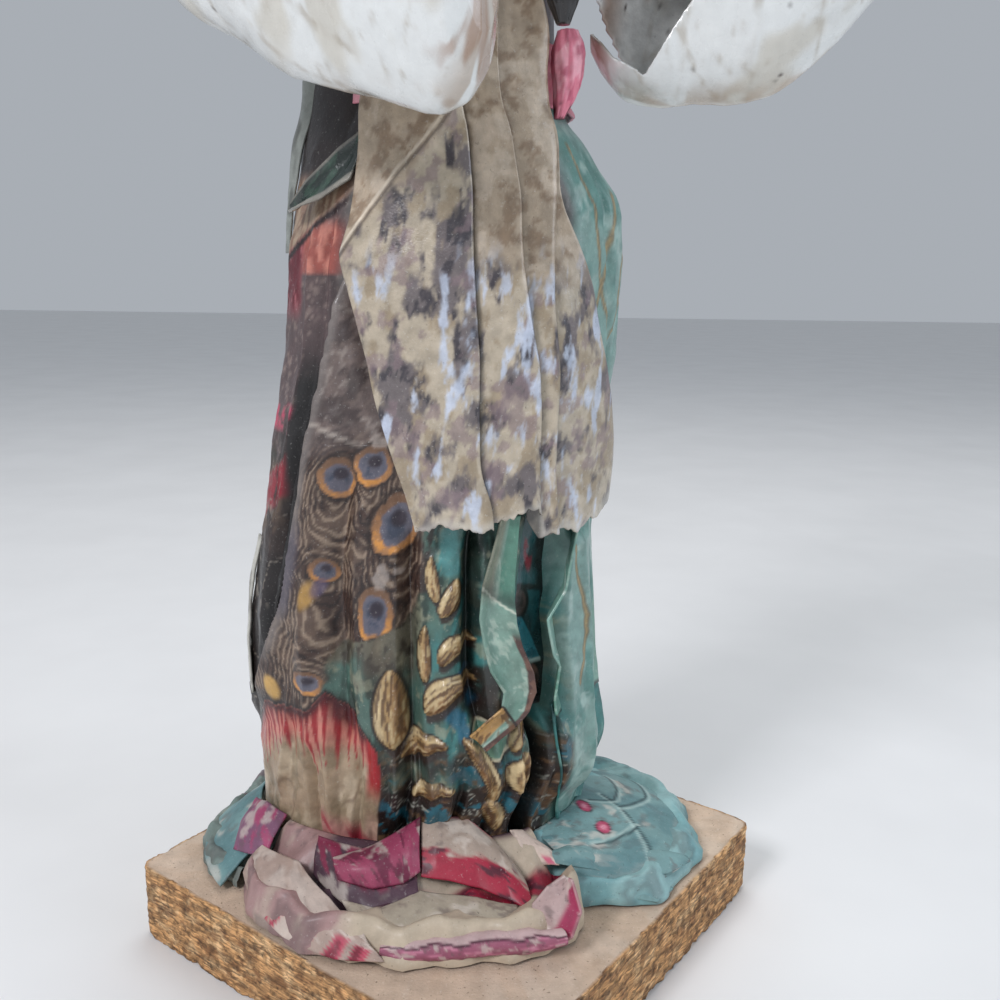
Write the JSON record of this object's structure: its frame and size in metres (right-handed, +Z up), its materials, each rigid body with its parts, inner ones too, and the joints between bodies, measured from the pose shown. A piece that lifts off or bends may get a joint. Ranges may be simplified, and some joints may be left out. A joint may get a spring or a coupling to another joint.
{
  "type": "papier-mache figure",
  "caption": "Papier-mache lady in a draped printed-paper robe, apron and bag sleeves, standing on a square chipboard plinth.",
  "frame": {"origin": "middle of the plinth's underside, which rests on the surface", "axes": "+Z up through the figure, which faces -Y; +X towards its outstretched arm; the plinth is turned 53.5 degrees about Z"},
  "size_m": [0.1815, 0.1374, 0.3008],
  "materials": {
    "plinth": "raw chipboard with a pale, worn top face",
    "robe": "printed paper soaked in glue, crumpled, satin to glossy",
    "hem_left": "crumpled printed paper, satin",
    "hem_front": "crumpled paper printed with large petals, satin",
    "hem_right": "crumpled printed paper, satin",
    "hem_back": "crumpled printed paper, satin",
    "apron": "mottled printed paper under a glossy coat of glue",
    "sash": "thin pink paper, satin",
    "sash_knot": "thin pink paper, satin",
    "bodice": "printed paper soaked in glue, satin",
    "sleeve_right": "white glossy paper with brown-tinged edges",
    "sleeve_left": "white glossy paper with brown-tinged edges",
    "hand_right": "painted papier-mache, satin",
    "hand_left": "painted papier-mache, satin",
    "head": "painted papier-mache, satin",
    "hair": "black glossy paper",
    "tress": "black glossy paper"
  },
  "bodies": {
    "root": {"plinth": "plinth", "robe": "robe", "hem_left": "hem_left", "hem_front": "hem_front", "hem_right": "hem_right", "hem_back": "hem_back", "apron": "apron", "sash": "sash", "sash_knot": "sash_knot", "bodice": "bodice", "sleeve_right": "sleeve_right", "sleeve_left": "sleeve_left", "hand_right": "hand_right", "hand_left": "hand_left", "head": "head", "hair": "hair", "tress": "tress"}
  },
  "joints": []
}
